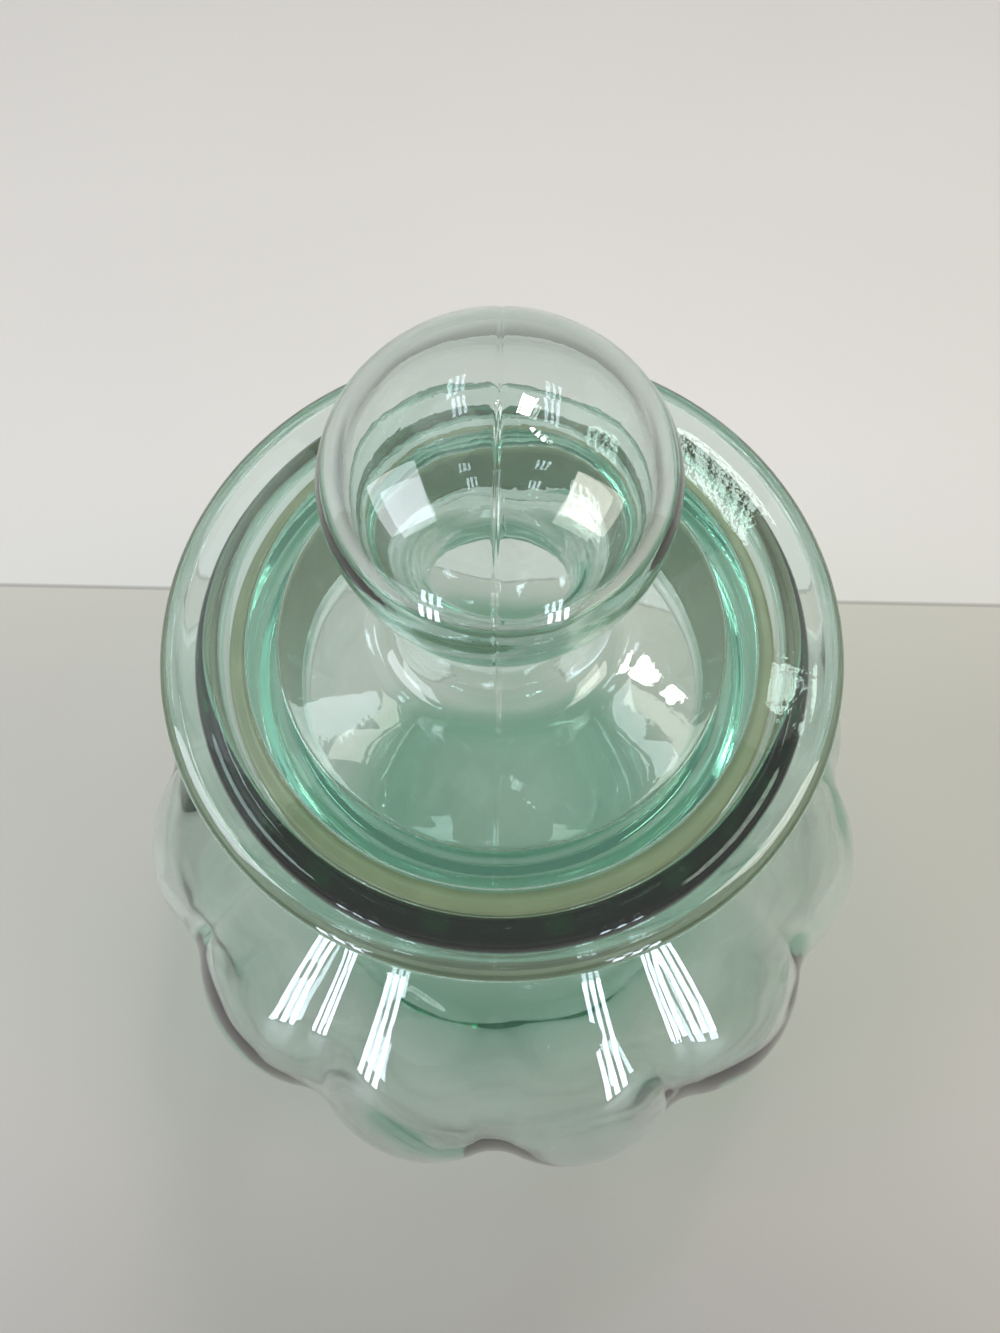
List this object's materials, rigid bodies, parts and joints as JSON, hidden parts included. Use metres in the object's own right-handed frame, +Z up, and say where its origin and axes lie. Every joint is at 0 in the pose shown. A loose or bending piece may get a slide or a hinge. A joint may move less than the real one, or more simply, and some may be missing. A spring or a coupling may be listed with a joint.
{
  "type": "glass storage jar",
  "caption": "Pale green glass apothecary jar with a round-lobed body, a rolled mouth and a hollow ball lid that lifts and turns on a finned seal ring.",
  "frame": {"origin": "middle of the foot, on the surface that the jar stands on", "axes": "+Z up along the jar's axis, -Y towards the front, where a crease between two lobes and the lid's mould seam face"},
  "size_m": [0.193, 0.193, 0.2652],
  "materials": {
    "jar_glass": "blown glass with a green tint from its recycled melt, clear and glossy",
    "lid_glass": "blown glass with a green tint, glossy, with a faint hammered skin on the disc",
    "seal": "soft translucent ring, yellowed with age"
  },
  "bodies": {
    "jar": {"jar_body": "jar_glass"},
    "seal": {"seal_ring": "seal"},
    "lid": {"glass_lid": "lid_glass"}
  },
  "joints": [
    {"name": "lid_lift", "type": "slide", "parent": "jar", "child": "seal", "axis": [0, 0, 1], "range_m": [0, 0.06]},
    {"name": "lid_turn", "type": "hinge", "parent": "seal", "child": "lid", "pos_m": [0, 0, 0.1953], "axis": [0, 0, 1], "continuous": true}
  ]
}
